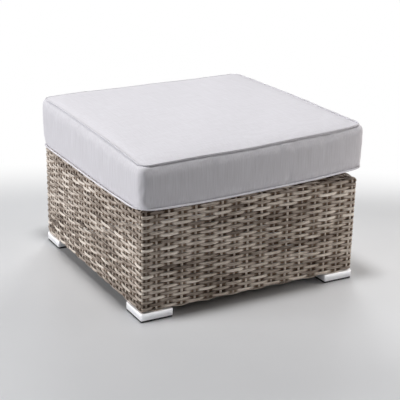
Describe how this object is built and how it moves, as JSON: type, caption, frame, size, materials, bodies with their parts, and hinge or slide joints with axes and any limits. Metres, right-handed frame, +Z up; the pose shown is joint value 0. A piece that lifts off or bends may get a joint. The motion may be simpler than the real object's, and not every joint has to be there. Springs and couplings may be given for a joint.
{
  "type": "outdoor ottoman footstool",
  "caption": "Square woven outdoor footstool on square polished feet, with a loose boxed and piped cushion that lifts off and has a zip in its back.",
  "frame": {"origin": "on the floor, under the middle of the footstool's outer box", "axes": "+Z up, -Y is the front, +X to the right of someone who looks at the front"},
  "size_m": [0.668, 0.668, 0.4557],
  "materials": {
    "weave": "flat woven plastic strand, taupe with streaks, slightly ribbed",
    "frame": "satin powder coat",
    "foot_chrome": "polished",
    "foot_pad": "moulded, matt",
    "screw_steel": "zinc plated",
    "cushion_fabric": "woven outdoor fabric, pale grey melange",
    "foam": "open-cell foam",
    "zip_tape": "woven tape with moulded chain",
    "zip_metal": "plated"
  },
  "bodies": {
    "base": {"weave_front": "weave", "weave_back": "weave", "weave_left": "weave", "weave_right": "weave", "weave_deck": "weave", "rim_front": "weave", "rim_back": "weave", "rim_left": "weave", "rim_right": "weave", "hem_front": "weave", "hem_back": "weave", "hem_left": "weave", "hem_right": "weave", "post_front_left": "frame", "post_front_right": "frame", "post_back_left": "frame", "post_back_right": "frame", "top_rail_front": "frame", "top_rail_back": "frame", "top_rail_left": "frame", "top_rail_right": "frame", "bottom_rail_front": "frame", "bottom_rail_back": "frame", "bottom_rail_left": "frame", "bottom_rail_right": "frame", "deck_bar_left": "frame", "deck_bar_middle": "frame", "deck_bar_right": "frame", "foot_plate_front_left": "frame", "foot_plate_front_right": "frame", "foot_plate_back_left": "frame", "foot_plate_back_right": "frame", "foot_cap_front_left": "foot_chrome", "foot_cap_front_right": "foot_chrome", "foot_cap_back_left": "foot_chrome", "foot_cap_back_right": "foot_chrome", "foot_pad_front_left": "foot_pad", "foot_pad_front_right": "foot_pad", "foot_pad_back_left": "foot_pad", "foot_pad_back_right": "foot_pad", "foot_screw_front_left": "screw_steel", "foot_screw_front_right": "screw_steel", "foot_screw_back_left": "screw_steel", "foot_screw_back_right": "screw_steel"},
    "cushion": {"cushion_top_panel": "cushion_fabric", "cushion_bottom_panel": "cushion_fabric", "cushion_boxing": "cushion_fabric", "cushion_piping_top": "cushion_fabric", "cushion_piping_bottom": "cushion_fabric", "cushion_foam": "foam", "zip_tape": "zip_tape"},
    "slider": {"zip_slider": "zip_metal"},
    "pull_tab": {"zip_pull_tab": "zip_metal"}
  },
  "joints": [
    {"name": "cushion_lift", "type": "slide", "parent": "base", "child": "cushion", "axis": [0, 0, 1], "range_m": [0, 0.3]},
    {"name": "zip_slide", "type": "slide", "parent": "cushion", "child": "slider", "axis": [1, 0, 0], "range_m": [0, 0.483]},
    {"name": "pull_tab_swing", "type": "hinge", "parent": "slider", "child": "pull_tab", "pos_m": [-0.2417, 0.3325, 0.378], "axis": [1, 0, 0], "range_deg": [0, 150]}
  ]
}
